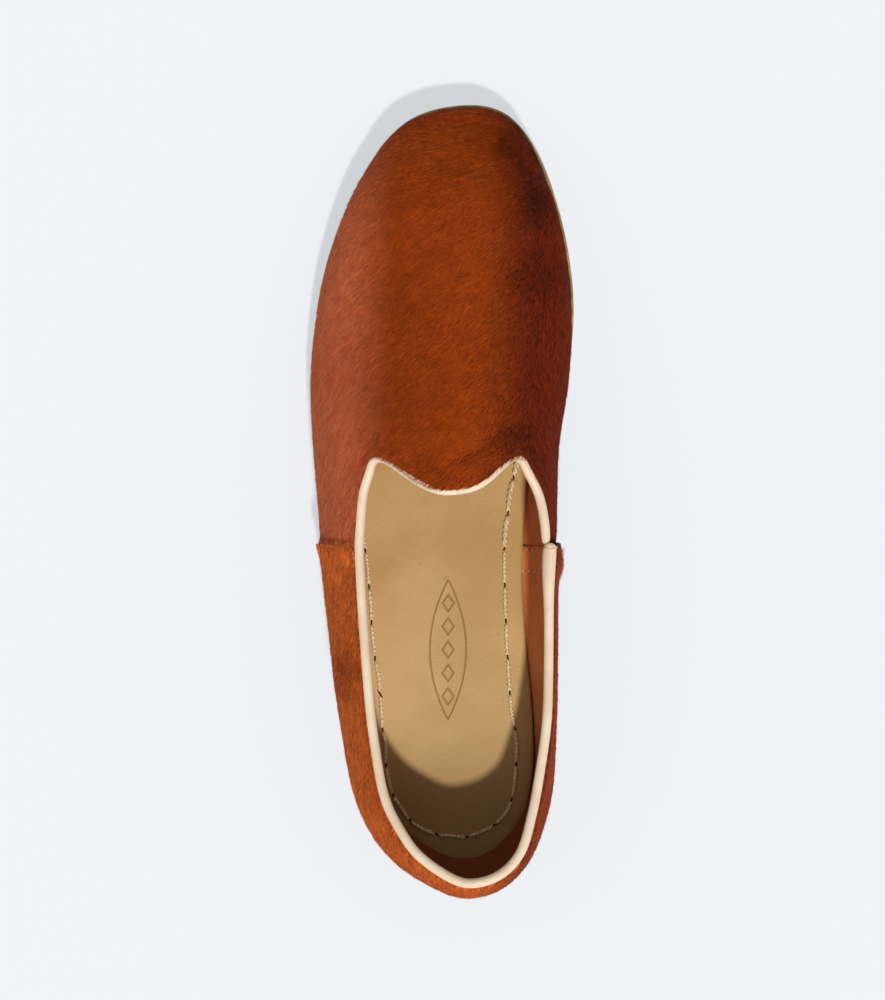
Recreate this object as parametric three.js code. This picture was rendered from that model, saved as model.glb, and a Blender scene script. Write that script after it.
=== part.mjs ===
// A slip-on shoe for the left foot, size 45: a hair-on leather vamp and quarter over a leather lining,
// a folded binding round the top line, a stitched insole, a leather outsole and a low stacked heel.
// Millimetres. The floor is z = 0, the toe points along +Y and the big-toe side (medial) is +X.
import * as THREE from "three";
import { mergeVertices } from "three/addons/utils/BufferGeometryUtils.js";

// Overall sizes
const LENGTH = 302;
const BALL_WIDTH = 101;
const INSTEP_HEIGHT = 74;
const COLLAR_HEIGHT = 66;
const HEEL_HEIGHT = 7;
const TOE_SPRING = 7;

// Thicknesses and clearances
const SOLE_THICKNESS = 5;
const SOLE_BEVEL = 0.8;
const INSOLE_THICKNESS = 3;
const WALL = 2.3;
const HIDE = 1.3;
const GAP = 0.3;
const WELT_MARGIN = 1.6;
const TOE_RIM = 3;
const HEEL_TUCK = 6;
const HEEL_LEAN = 6;
const HEEL_TAPER = 1;
const QUARTER_STEP = 0.6;
const BINDING_WIDTH = 3.4;
const BINDING_HEIGHT = 2.6;
const LAP_WIDTH = 5.4;
const LAP_HEIGHT = 3.1;
const LAP_TAPER = 24;
const LAP_GAP = 0.4;
const LAP_OUT = 0.7;
const SEAM_FLARE = 2.4;
const FLARE_BACK = 0.35;

// Places along the shoe, as shares of its length from the heel
const HEEL_BREAST = 0.255;
const SEAM_AT = 0.438;
const SEAT_LENGTH = 8;
const HORN_AT = 0.553;
const TONGUE_AT = 0.507;
const HEEL_CENTRE_AT = 0.145;
const HEEL_LEAN_AT = 0.1;
const TOE_CENTRE_AT = 0.85;
const THROAT_FADE_AT = 0.72;
const HORN_ROUND = 2.2;
const WAVE_EASE = 1.2;

// Half widths of the upper at its widest line, as shares of the ball width. Each is divided by the
// half width of an ellipse of the same length, so that a steady number closes in a round end. The
// centre moves towards the big toe at both ends.
const PLAN = [
  { at: 0.0, medial: 0.6, lateral: 0.48, centre: 0.022 },
  { at: 0.04, medial: 0.602, lateral: 0.63, centre: 0.014 },
  { at: 0.1, medial: 0.557, lateral: 0.6, centre: 0.006 },
  { at: 0.2, medial: 0.462, lateral: 0.53, centre: 0 },
  { at: 0.32, medial: 0.403, lateral: 0.507, centre: 0 },
  { at: 0.45, medial: 0.377, lateral: 0.52, centre: 0 },
  { at: 0.55, medial: 0.384, lateral: 0.548, centre: 0 },
  { at: 0.65, medial: 0.444, lateral: 0.585, centre: 0 },
  { at: 0.76, medial: 0.5, lateral: 0.614, centre: 0 },
  { at: 0.86, medial: 0.54, lateral: 0.636, centre: 0.006 },
  { at: 0.93, medial: 0.557, lateral: 0.685, centre: 0.024 },
  { at: 0.97, medial: 0.59, lateral: 0.8, centre: 0.04 },
  { at: 1.0, medial: 0.66, lateral: 0.96, centre: 0.055 },
];

// The same for the edge of the sole
const SOLE_PLAN = [
  { at: 0.0, medial: 0.62, lateral: 0.6, centre: 0.022 },
  { at: 0.05, medial: 0.57, lateral: 0.62, centre: 0.014 },
  { at: 0.12, medial: 0.492, lateral: 0.562, centre: 0.006 },
  { at: 0.2, medial: 0.405, lateral: 0.505, centre: 0 },
  { at: 0.3, medial: 0.315, lateral: 0.462, centre: 0 },
  { at: 0.4, medial: 0.272, lateral: 0.452, centre: 0 },
  { at: 0.5, medial: 0.29, lateral: 0.472, centre: 0 },
  { at: 0.6, medial: 0.375, lateral: 0.525, centre: 0 },
  { at: 0.68, medial: 0.465, lateral: 0.57, centre: 0 },
  { at: 0.76, medial: 0.516, lateral: 0.598, centre: 0 },
  { at: 0.86, medial: 0.553, lateral: 0.625, centre: 0.006 },
  { at: 0.93, medial: 0.575, lateral: 0.677, centre: 0.024 },
  { at: 0.97, medial: 0.598, lateral: 0.795, centre: 0.04 },
  { at: 1.0, medial: 0.66, lateral: 0.98, centre: 0.055 },
];

// Underside of the sole: shares of the heel height and of the toe spring
const LIFT = [
  { at: 0.0, heel: 1, toe: 0 },
  { at: 0.27, heel: 1, toe: 0 },
  { at: 0.37, heel: 0.8, toe: 0 },
  { at: 0.48, heel: 0.34, toe: 0 },
  { at: 0.58, heel: 0, toe: 0 },
  { at: 0.72, heel: 0, toe: 0 },
  { at: 0.82, heel: 0, toe: 0.2 },
  { at: 0.92, heel: 0, toe: 0.6 },
  { at: 1.0, heel: 0, toe: 1 },
];

// Heights of a section: its widest line above the feather edge, a share of the collar height, and
// its crown, a share of the collar height and one of the instep height, above the floor
const RISE = [
  { at: 0.0, belly: 0.22, heelCrown: 1.09, instepCrown: 0 },
  { at: 0.14, belly: 0.2, heelCrown: 1.075, instepCrown: 0 },
  { at: 0.25, belly: 0.19, heelCrown: 1.07, instepCrown: 0 },
  { at: 0.33, belly: 0.185, heelCrown: 1.07, instepCrown: 0 },
  { at: 0.43, belly: 0.18, heelCrown: 0.6, instepCrown: 0.452 },
  { at: 0.5, belly: 0.18, heelCrown: 0.08, instepCrown: 0.93 },
  { at: 0.55, belly: 0.18, heelCrown: 0, instepCrown: 0.942 },
  { at: 0.62, belly: 0.18, heelCrown: 0, instepCrown: 0.83 },
  { at: 0.7, belly: 0.175, heelCrown: 0, instepCrown: 0.71 },
  { at: 0.78, belly: 0.165, heelCrown: 0, instepCrown: 0.615 },
  { at: 0.86, belly: 0.15, heelCrown: 0, instepCrown: 0.54 },
  { at: 0.93, belly: 0.135, heelCrown: 0, instepCrown: 0.485 },
  { at: 1.0, belly: 0.125, heelCrown: 0, instepCrown: 0.44 },
];

// Fullness of a section on each side (2 is an ellipse, less leans in, more stands up), and how far
// round its quarter turn the top line cuts it
const SECTION = [
  { at: 0.0, medialFull: 4.63, lateralFull: 4.63, medialTurn: 0.489, lateralTurn: 0.489 },
  { at: 0.07, medialFull: 4.22, lateralFull: 2.32, medialTurn: 0.392, lateralTurn: 0.532 },
  { at: 0.14, medialFull: 3.5, lateralFull: 1.88, medialTurn: 0.35, lateralTurn: 0.5 },
  { at: 0.24, medialFull: 5.5, lateralFull: 1.79, medialTurn: 0.189, lateralTurn: 0.47 },
  { at: 0.33, medialFull: 5.8, lateralFull: 1.75, medialTurn: 0.174, lateralTurn: 0.47 },
  { at: 0.43, medialFull: 4.8, lateralFull: 1.66, medialTurn: 0.213, lateralTurn: 0.474 },
  { at: 0.5, medialFull: 2.94, lateralFull: 1.56, medialTurn: 0.34, lateralTurn: 0.492 },
  { at: 0.553, medialFull: 2.25, lateralFull: 1.66, medialTurn: 0.52, lateralTurn: 0.58 },
  { at: 0.65, medialFull: 2.2, lateralFull: 1.7, medialTurn: 0.52, lateralTurn: 0.57 },
  { at: 0.76, medialFull: 2.25, lateralFull: 1.85, medialTurn: 0.5, lateralTurn: 0.54 },
  { at: 0.86, medialFull: 2.3, lateralFull: 2.1, medialTurn: 0.5, lateralTurn: 0.5 },
  { at: 1.0, medialFull: 2.35, lateralFull: 2.35, medialTurn: 0.5, lateralTurn: 0.5 },
];

// Section of the binding over the edge: shares of its width across and of its height away from it
const BEAD = [
  [-0.42, 0],
  [0.42, 0],
  [0.5, 0.3],
  [0.46, 0.65],
  [0.26, 0.93],
  [0, 1],
  [-0.26, 0.93],
  [-0.46, 0.65],
  [-0.5, 0.3],
];

// Mesh steps between the named places, and up a section
const STEPS_TO = { breast: 14, seat: 5, seam: 1, horn: 5, toe: 24 };
const TUCK_ROWS = 3;
const WALL_ROWS = 5;
const VAMP_ROWS = 6;
const TUCK_CURVE = 1.7;
const CAP_CELLS = 4;

// Smooth reading of a table column: a cubic that never overshoots its rows
function follow(table, column, at) {
  const last = table.length - 1;
  const clamped = Math.min(Math.max(at, table[0].at), table[last].at);
  let k = 0;
  while (k < last - 1 && clamped > table[k + 1].at) k += 1;
  const rise = (i) => (table[i + 1][column] - table[i][column]) / (table[i + 1].at - table[i].at);
  const slope = (i) => {
    if (i === 0) return rise(0);
    if (i === last) return rise(last - 1);
    const before = rise(i - 1);
    const after = rise(i);
    return before * after <= 0 ? 0 : (2 * before * after) / (before + after);
  };
  const span = table[k + 1].at - table[k].at;
  const u = (clamped - table[k].at) / span;
  const start = table[k][column];
  const end = table[k + 1][column];
  const smooth = u * u * (3 - 2 * u);
  const bend = u * (1 - u) * (slope(k) * span * (1 - u) - slope(k + 1) * span * u);
  return start + (end - start) * smooth + bend;
}

const smoothstep = (from, to, value) => THREE.MathUtils.smoothstep(value, from, to);

// The two rings: the widest line of the upper and the edge of the sole
const UPPER_RING = { plan: PLAN, back: -LENGTH / 2 + QUARTER_STEP, front: LENGTH / 2 - TOE_RIM };
const SOLE_RING = { plan: SOLE_PLAN, back: -LENGTH / 2 + HEEL_TUCK, front: LENGTH / 2 };

const alongAt = (share) => -LENGTH / 2 + share * LENGTH;
const shareAt = (y) => (y + LENGTH / 2) / LENGTH;

// A place on a ring: angle 0 is the back of the heel, PI the tip of the toe. Side is 1 medial, -1 lateral.
function ringPoint(ring, angle, side) {
  const share = (1 - Math.cos(angle)) / 2;
  const column = side > 0 ? "medial" : "lateral";
  const half = follow(ring.plan, column, share) * BALL_WIDTH;
  const middle = follow(ring.plan, "centre", share) * BALL_WIDTH;
  const y = ring.back + share * (ring.front - ring.back);
  return new THREE.Vector2(middle + side * half * Math.sin(angle), y);
}

// The same place moved inwards, square to the ring
function insetRing(ring, angle, side, inset) {
  const step = 0.01;
  const before = angle < step ? ringPoint(ring, step - angle, -side) : ringPoint(ring, angle - step, side);
  const past = angle + step - Math.PI;
  const after = past > 0 ? ringPoint(ring, Math.PI - past, -side) : ringPoint(ring, angle + step, side);
  const run = after.sub(before).normalize();
  const outward = new THREE.Vector2(run.y, -run.x).multiplyScalar(side);
  return ringPoint(ring, angle, side).addScaledVector(outward, -inset);
}

const angleAt = (ring, y) => {
  const share = (y - ring.back) / (ring.front - ring.back);
  return Math.acos(THREE.MathUtils.clamp(1 - 2 * share, -1, 1));
};

const underside = (y) =>
  follow(LIFT, "heel", shareAt(y)) * HEEL_HEIGHT + follow(LIFT, "toe", shareAt(y)) * TOE_SPRING;

const featherHeight = (y) => underside(y) + SOLE_THICKNESS + GAP;

// A point of the upper's skin. Level -1 is the feather edge, 0 the widest line and 1 the crown, and
// inset moves the whole skin inwards. The top of the heel leans towards the big toe's side.
function skin(angle, side, level, inset) {
  const share = (1 - Math.cos(angle)) / 2;
  const feather = insetRing(SOLE_RING, angle, side, WELT_MARGIN + inset);
  const wide = insetRing(UPPER_RING, angle, side, inset);
  const low = featherHeight(feather.y);
  const belly = follow(RISE, "belly", share) * COLLAR_HEIGHT;
  if (level <= 0) {
    const up = level + 1;
    const out = 1 - Math.pow(1 - up, TUCK_CURVE);
    const place = feather.clone().lerp(wide, out);
    return new THREE.Vector3(place.x, place.y, low + belly * up);
  }
  const ringY = ringPoint(UPPER_RING, angle, side).y;
  const centreY = THREE.MathUtils.clamp(ringY, alongAt(HEEL_CENTRE_AT), alongAt(TOE_CENTRE_AT));
  const centre = new THREE.Vector2(0, centreY);
  const full = follow(SECTION, side > 0 ? "medialFull" : "lateralFull", share);
  const turn = (level * Math.PI) / 2;
  const out = Math.pow(Math.max(Math.cos(turn), 0), 2 / full);
  const up = Math.pow(Math.sin(turn), 2 / full);
  const place = centre.lerp(wide, out);
  const here = shareAt(place.y);
  const crown =
    follow(RISE, "heelCrown", here) * COLLAR_HEIGHT + follow(RISE, "instepCrown", here) * INSTEP_HEIGHT - inset;
  const start = low + belly;
  const lean = HEEL_LEAN * up * (1 - smoothstep(0, HEEL_LEAN_AT, share));
  return new THREE.Vector3(place.x + lean, place.y, start + (crown - start) * up);
}

// Columns of the mesh from the back of the heel to the tip of the toe, at the named places
const SEAM_Y = alongAt(SEAM_AT);
const STATIONS = [
  { y: UPPER_RING.back, steps: 0 },
  { y: alongAt(HEEL_BREAST), steps: STEPS_TO.breast },
  { y: SEAM_Y - SEAT_LENGTH, steps: STEPS_TO.seat },
  { y: SEAM_Y, steps: STEPS_TO.seam },
  { y: alongAt(HORN_AT), steps: STEPS_TO.horn },
  { y: UPPER_RING.front, steps: STEPS_TO.toe },
];
const HALF_ANGLES = [0];
STATIONS.slice(1).forEach(({ y, steps }, k) => {
  const from = angleAt(UPPER_RING, STATIONS[k].y);
  const to = angleAt(UPPER_RING, y);
  for (let i = 1; i <= steps; i += 1) HALF_ANGLES.push(from + ((to - from) * i) / steps);
});
const HALF = HALF_ANGLES.length - 1;
const BREAST = STEPS_TO.breast;
const SEAT = BREAST + STEPS_TO.seat;
const SEAM = SEAT + STEPS_TO.seam;
const HORN = SEAM + STEPS_TO.horn;
const RING_COUNT = 2 * HALF;

// Column number of the whole ring: the medial side runs to the toe, then the lateral side back
const columnOf = (index) => {
  const i = ((index % RING_COUNT) + RING_COUNT) % RING_COUNT;
  return i <= HALF
    ? { angle: HALF_ANGLES[i], side: 1, half: i }
    : { angle: HALF_ANGLES[RING_COUNT - i], side: -1, half: RING_COUNT - i };
};

// The hide and the quarter lie over a thinner wall behind the seam
const seated = (half) => (half >= SEAM ? 0 : 1);
const STEP_IN = HIDE + GAP - QUARTER_STEP;

// Level of each row of a column: the tuck under the widest line, the wall up to the top line and,
// ahead of the throat, the vamp up to the crown
function levelAt(row, angle, side) {
  const share = (1 - Math.cos(angle)) / 2;
  const topLine = follow(SECTION, side > 0 ? "medialTurn" : "lateralTurn", share);
  if (row <= TUCK_ROWS) {
    const insoleLevel = INSOLE_THICKNESS / (follow(RISE, "belly", share) * COLLAR_HEIGHT);
    const up = row <= 1 ? row * insoleLevel : insoleLevel + ((1 - insoleLevel) * (row - 1)) / (TUCK_ROWS - 1);
    return up - 1;
  }
  const wallRow = row - TUCK_ROWS;
  if (wallRow <= WALL_ROWS) return (topLine * wallRow) / WALL_ROWS;
  return topLine + ((1 - topLine) * (wallRow - WALL_ROWS)) / VAMP_ROWS;
}

const TOP_ROW = TUCK_ROWS + WALL_ROWS;
const CROWN_ROW = TOP_ROW + VAMP_ROWS;

// Ahead of the throat the rows above the top line are drawn back towards the tongue's tip, so that
// the rearmost column is the wave of the throat: two rounded horns with the tongue between them
function skinAt(index, row, inset) {
  const { angle, side, half } = columnOf(index);
  const level = levelAt(row, angle, side);
  if (row < TOP_ROW || half < HORN) return skin(angle, side, level, inset);
  const share = (1 - Math.cos(angle)) / 2;
  const full = follow(SECTION, side > 0 ? "medialFull" : "lateralFull", share);
  const across = (turn) => Math.pow(Math.max(Math.cos((turn * Math.PI) / 2), 0), 2 / full);
  const fromTongue = across(level) / across(levelAt(TOP_ROW, angle, side));
  const wave = (1 + Math.cos(Math.PI * Math.pow(fromTongue, WAVE_EASE))) / 2;
  const y = ringPoint(UPPER_RING, angle, side).y;
  const fade = 1 - smoothstep(alongAt(HORN_AT), alongAt(THROAT_FADE_AT), y);
  const rounded = row === TOP_ROW && half === HORN ? HORN_ROUND : 0;
  const drawn = y - (HORN_AT - TONGUE_AT) * LENGTH * wave * fade - rounded;
  return skin(angleAt(UPPER_RING, drawn), side, level, inset);
}

// Triangles collected as loose corners, then welded into one closed mesh
class Solid {
  constructor() {
    this.corners = [];
  }

  triangle(a, b, c) {
    this.corners.push(a.x, a.y, a.z, b.x, b.y, b.z, c.x, c.y, c.z);
  }

  quad(a, b, c, d) {
    if (a.distanceTo(c) <= b.distanceTo(d)) {
      this.triangle(a, b, c);
      this.triangle(a, c, d);
    } else {
      this.triangle(a, b, d);
      this.triangle(b, c, d);
    }
  }

  // A sheet from rows of points: the rows run anticlockwise seen from outside and climb
  sheet(rows, flipped = false) {
    for (let j = 0; j + 1 < rows.length; j += 1)
      for (let i = 0; i + 1 < rows[j].length; i += 1) {
        const [a, b, c, d] = [rows[j][i], rows[j][i + 1], rows[j + 1][i + 1], rows[j + 1][i]];
        if (flipped) this.quad(d, c, b, a);
        else this.quad(a, b, c, d);
      }
  }

  // A flat lid over a ring that starts at the heel, in strips from side to side
  lid(ring, flipped = false) {
    const count = ring.length;
    const strips = [];
    for (let i = 0; i <= count / 2; i += 1) {
      const medial = ring[i];
      const lateral = ring[(count - i) % count];
      const strip = [];
      for (let k = 0; k <= CAP_CELLS; k += 1) strip.push(medial.clone().lerp(lateral, k / CAP_CELLS));
      strips.push(strip);
    }
    const columns = strips[0].map((unused, k) => strips.map((strip) => strip[k]));
    this.sheet(columns, flipped);
  }

  mesh(name, material) {
    const loose = new THREE.BufferGeometry();
    loose.setAttribute("position", new THREE.Float32BufferAttribute(this.corners, 3));
    const welded = mergeVertices(loose, 1e-3);
    const index = welded.index.array;
    const kept = [];
    for (let i = 0; i < index.length; i += 3) {
      const [a, b, c] = [index[i], index[i + 1], index[i + 2]];
      if (a !== b && b !== c && c !== a) kept.push(a, b, c);
    }
    welded.setIndex(kept);
    welded.computeVertexNormals();
    const mesh = new THREE.Mesh(welded, material);
    mesh.name = name;
    return mesh;
  }
}

const closed = (row) => [...row, row[0]];
const range = (from, to) => Array.from({ length: to - from + 1 }, (unused, i) => from + i);

// Outsole: one leather sole with an arch, a flat tread under the ball and a toe spring
function outsole() {
  const solid = new Solid();
  const ringAt = (inset, height) =>
    range(0, RING_COUNT - 1).map((index) => {
      const { angle, side } = columnOf(index);
      const place = insetRing(SOLE_RING, angle, side, inset);
      return new THREE.Vector3(place.x, place.y, underside(place.y) + height);
    });
  const rings = [
    ringAt(SOLE_BEVEL, 0),
    ringAt(0, SOLE_BEVEL),
    ringAt(0, SOLE_THICKNESS - SOLE_BEVEL),
    ringAt(SOLE_BEVEL, SOLE_THICKNESS),
  ];
  solid.sheet(rings.map(closed));
  solid.lid(rings[0], true);
  solid.lid(rings[3]);
  return solid.mesh("outsole", new THREE.MeshStandardMaterial({ color: "#856649", roughness: 0.6 }));
}

// Heel: a low stack of leather lifts under the flat seat of the outsole, with a straight breast
function heel() {
  const solid = new Solid();
  const height = HEEL_HEIGHT - GAP;
  const ringAt = (inset, z) =>
    range(-BREAST, BREAST).map((index) => {
      const { angle, side } = columnOf(index);
      const place = insetRing(SOLE_RING, angle, side, inset);
      return new THREE.Vector3(place.x, place.y, z);
    });
  const low = ringAt(SOLE_BEVEL + HEEL_TAPER, 0);
  const high = ringAt(SOLE_BEVEL, height);
  solid.sheet([low, high]);
  const across = (ring) => range(0, CAP_CELLS).map((k) => ring.at(-1).clone().lerp(ring[0], k / CAP_CELLS));
  solid.sheet([across(low), across(high)]);
  const lid = (ring, flipped) => {
    const pairs = range(0, BREAST).map((i) => [ring[BREAST + i], ring[BREAST - i]]);
    const cells = range(0, CAP_CELLS).map((k) => pairs.map(([a, b]) => a.clone().lerp(b, k / CAP_CELLS)));
    solid.sheet(cells, flipped);
  };
  lid(low, true);
  lid(high, false);
  return solid.mesh("heel", new THREE.MeshStandardMaterial({ color: "#4a2f1c", roughness: 0.55 }));
}

// Insole: a leather board that fills the bottom inside the upper
function insole() {
  const solid = new Solid();
  const ringAt = (row) => range(0, RING_COUNT - 1).map((index) => skinAt(index, row, WALL + GAP));
  const low = ringAt(0);
  const high = ringAt(1);
  solid.sheet([closed(low), closed(high)]);
  solid.lid(low, true);
  solid.lid(high);
  return solid.mesh("insole", new THREE.MeshStandardMaterial({ color: "#c29b66", roughness: 0.6 }));
}

// Upper: vamp and lining as one hollow wall, open at the top line and under the foot
function upper() {
  const solid = new Solid();
  const outerInset = (index) => seated(columnOf(index).half) * STEP_IN;
  const outer = (index, row) => skinAt(index, row, outerInset(index));
  const inner = (index, row) => skinAt(index, row, WALL);
  const around = range(0, RING_COUNT);
  const ahead = range(HORN, RING_COUNT - HORN);
  const behind = range(-HORN, HORN);
  const walls = range(0, TOP_ROW);
  const vamp = range(TOP_ROW, CROWN_ROW);
  const sheetOf = (point, rows, columns) => rows.map((row) => columns.map((index) => point(index, row)));
  solid.sheet(sheetOf(outer, walls, around));
  solid.sheet(sheetOf(inner, walls, around), true);
  solid.sheet(sheetOf(outer, vamp, ahead));
  solid.sheet(sheetOf(inner, vamp, ahead), true);
  solid.sheet([around.map((i) => inner(i, 0)), around.map((i) => outer(i, 0))]);
  solid.sheet([behind.map((i) => outer(i, TOP_ROW)), behind.map((i) => inner(i, TOP_ROW))]);
  solid.sheet([vamp.map((row) => outer(HORN, row)), vamp.map((row) => inner(HORN, row))]);
  solid.sheet([vamp.map((row) => inner(-HORN, row)), vamp.map((row) => outer(-HORN, row))]);
  return solid.mesh("upper", new THREE.MeshStandardMaterial({ color: "#80340c", roughness: 0.7 }));
}

// Quarter: the heel part of the hide, wrapped from one side seam round the heel to the other and
// lapped over the vamp at its front edges. The medial edge stands a little off the vamp.
function quarter() {
  const solid = new Solid();
  const flareOf = (index, row) => {
    const columnShare = { [SEAM]: 1, [SEAM - 1]: FLARE_BACK }[index] ?? 0;
    return SEAM_FLARE * columnShare * Math.sin((Math.PI * row) / (TOP_ROW + 1)) ** 2;
  };
  const insetOf = (index, row) => seated(columnOf(index).half) * STEP_IN - GAP - flareOf(index, row);
  const inner = (index, row) => skinAt(index, row, insetOf(index, row));
  const outer = (index, row) => skinAt(index, row, insetOf(index, row) - HIDE);
  const columns = range(-SEAM, SEAM);
  const rows = range(0, TOP_ROW);
  solid.sheet(rows.map((row) => columns.map((index) => outer(index, row))));
  solid.sheet(rows.map((row) => columns.map((index) => inner(index, row))), true);
  solid.sheet([columns.map((i) => inner(i, 0)), columns.map((i) => outer(i, 0))]);
  solid.sheet([columns.map((i) => outer(i, TOP_ROW)), columns.map((i) => inner(i, TOP_ROW))]);
  solid.sheet([rows.map((row) => inner(SEAM, row)), rows.map((row) => outer(SEAM, row))]);
  solid.sheet([rows.map((row) => outer(-SEAM, row)), rows.map((row) => inner(-SEAM, row))]);
  return solid.mesh("quarter", new THREE.MeshStandardMaterial({ color: "#9a4a1c", roughness: 0.7 }));
}

// Binding: one folded strip over the raw edge of the top line. It starts at the medial seam, runs
// forward round the throat and back round the heel, and ends in a wider fold that meets the start.
function binding() {
  const solid = new Solid();
  const rimAt = (index, row, ended = false) => {
    const half = columnOf(index).half;
    const onQuarter = half < SEAM || (half === SEAM && (index < 0 || ended));
    const outer = skinAt(index, row, seated(half) * STEP_IN - (onQuarter ? GAP + HIDE : 0));
    const inner = skinAt(index, row, WALL);
    const across = outer.clone().sub(inner).normalize();
    const past = index > 0 && half <= SEAM && onQuarter ? SEAM_Y - outer.y : LAP_TAPER;
    const lap = 1 - smoothstep(0, LAP_TAPER, past);
    return {
      middle: outer.clone().lerp(inner, 0.5).addScaledVector(across, LAP_OUT * lap),
      across,
      width: BINDING_WIDTH + (LAP_WIDTH - BINDING_WIDTH) * lap,
      height: BINDING_HEIGHT + (LAP_HEIGHT - BINDING_HEIGHT) * lap,
    };
  };
  const start = rimAt(SEAM, TOP_ROW);
  start.middle.y += LAP_GAP;
  const vampRows = range(TOP_ROW, CROWN_ROW);
  const rims = [
    start,
    ...range(SEAM + 1, HORN - 1).map((index) => rimAt(index, TOP_ROW)),
    ...vampRows.map((row) => rimAt(HORN, row)),
    ...vampRows.slice(0, -1).reverse().map((row) => rimAt(-HORN, row)),
    ...range(-HORN + 1, SEAM - 1).map((index) => rimAt(index, TOP_ROW)),
    rimAt(SEAM, TOP_ROW, true),
  ];
  const last = rims.length - 1;
  const loops = rims.map(({ middle, across, width, height }, k) => {
    const before = rims[Math.max(k - 1, 0)].middle;
    const after = rims[Math.min(k + 1, last)].middle;
    const towards = middle.clone().sub(before).normalize();
    const onwards = after.clone().sub(middle).normalize();
    const run = after.clone().sub(before).normalize();
    const away = new THREE.Vector3().crossVectors(across, run).normalize();
    const halfBend = k === 0 || k === last ? 0 : towards.angleTo(onwards) / 2;
    const side = new THREE.Vector3().crossVectors(run, away).normalize();
    const foot = middle.clone().addScaledVector(away, GAP / Math.cos(halfBend));
    return BEAD.map(([wide, high]) =>
      foot.clone()
        .addScaledVector(side, wide * width)
        .addScaledVector(away, high * height),
    );
  });
  solid.sheet(loops.map(closed), true);
  const fan = (loop, flipped) => {
    const centre = loop.reduce((sum, p) => sum.add(p), new THREE.Vector3()).divideScalar(loop.length);
    loop.forEach((p, k) => {
      const next = loop[(k + 1) % loop.length];
      if (flipped) solid.triangle(centre, next, p);
      else solid.triangle(centre, p, next);
    });
  };
  fan(loops[0], false);
  fan(loops[last], true);
  return solid.mesh("binding", new THREE.MeshStandardMaterial({ color: "#e9d4bb", roughness: 0.55 }));
}

const shoe = new THREE.Group();
shoe.add(outsole(), heel(), insole(), upper(), quarter(), binding());

// The origin is under the middle of the shoe's box, on the floor
const box = new THREE.Box3().setFromObject(shoe);
const middle = box.getCenter(new THREE.Vector3());
shoe.position.set(-middle.x, -middle.y, -box.min.z);

export default shoe;
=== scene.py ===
import math

import bmesh
import bpy
import numpy as np
from mathutils import Matrix, Vector, noise
from mathutils.bvhtree import BVHTree


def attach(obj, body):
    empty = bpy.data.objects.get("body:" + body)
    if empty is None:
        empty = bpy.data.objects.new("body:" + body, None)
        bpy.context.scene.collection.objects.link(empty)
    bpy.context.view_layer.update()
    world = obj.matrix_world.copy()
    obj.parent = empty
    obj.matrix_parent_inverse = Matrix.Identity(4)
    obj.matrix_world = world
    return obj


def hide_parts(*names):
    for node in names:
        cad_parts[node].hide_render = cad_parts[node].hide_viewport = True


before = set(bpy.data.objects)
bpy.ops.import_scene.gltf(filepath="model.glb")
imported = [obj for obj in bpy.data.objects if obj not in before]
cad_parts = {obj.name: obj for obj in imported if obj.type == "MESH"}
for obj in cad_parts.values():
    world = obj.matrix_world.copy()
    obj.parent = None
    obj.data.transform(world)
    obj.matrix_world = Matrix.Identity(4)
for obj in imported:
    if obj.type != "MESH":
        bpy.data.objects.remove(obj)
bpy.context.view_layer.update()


# Camera, straight above the shoe at arm's length, with the toe at the top of the picture. The
# shoe stands to the left of the camera's axis, as in the photograph, so the frame is shifted.
CAMERA_PLACE = (0.059, -0.0024, 1.0)
FRAME_HEIGHT = 0.392
SENSOR_MM = 36
FRAME_SHIFT = -0.153

camera = bpy.data.objects.new("camera", bpy.data.cameras.new("camera"))
camera.location = CAMERA_PLACE
camera.data.sensor_width = SENSOR_MM
camera.data.lens = SENSOR_MM * CAMERA_PLACE[2] / FRAME_HEIGHT
camera.data.shift_x = FRAME_SHIFT
camera.data.clip_start = 0.01
bpy.context.scene.collection.objects.link(camera)
bpy.context.scene.camera = camera
bpy.context.scene.view_settings.view_transform = "Standard"


# Light: one soft key from beyond the heel, a little to the right, and an even pale studio
# around it that fills the shade.
KEY_HEIGHT = math.radians(59)
KEY_SWING = math.radians(18)
KEY_STRENGTH = 2.6
KEY_SOFTNESS = math.radians(3.2)
STUDIO_COLOUR = (0.93, 0.96, 1.0, 1)
STUDIO_STRENGTH = 0.42

key = bpy.data.objects.new("key", bpy.data.lights.new("key", "SUN"))
key.data.energy = KEY_STRENGTH
key.data.angle = KEY_SOFTNESS
towards_key = Vector((
    math.cos(KEY_HEIGHT) * math.sin(KEY_SWING),
    -math.cos(KEY_HEIGHT) * math.cos(KEY_SWING),
    math.sin(KEY_HEIGHT),
))
key.rotation_mode = "QUATERNION"
key.rotation_quaternion = towards_key.to_track_quat("Z", "Y")
bpy.context.scene.collection.objects.link(key)
studio = bpy.data.worlds.new("studio")
studio.use_nodes = True
studio.node_tree.nodes["Background"].inputs["Color"].default_value = STUDIO_COLOUR
studio.node_tree.nodes["Background"].inputs["Strength"].default_value = STUDIO_STRENGTH
bpy.context.scene.world = studio


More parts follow.
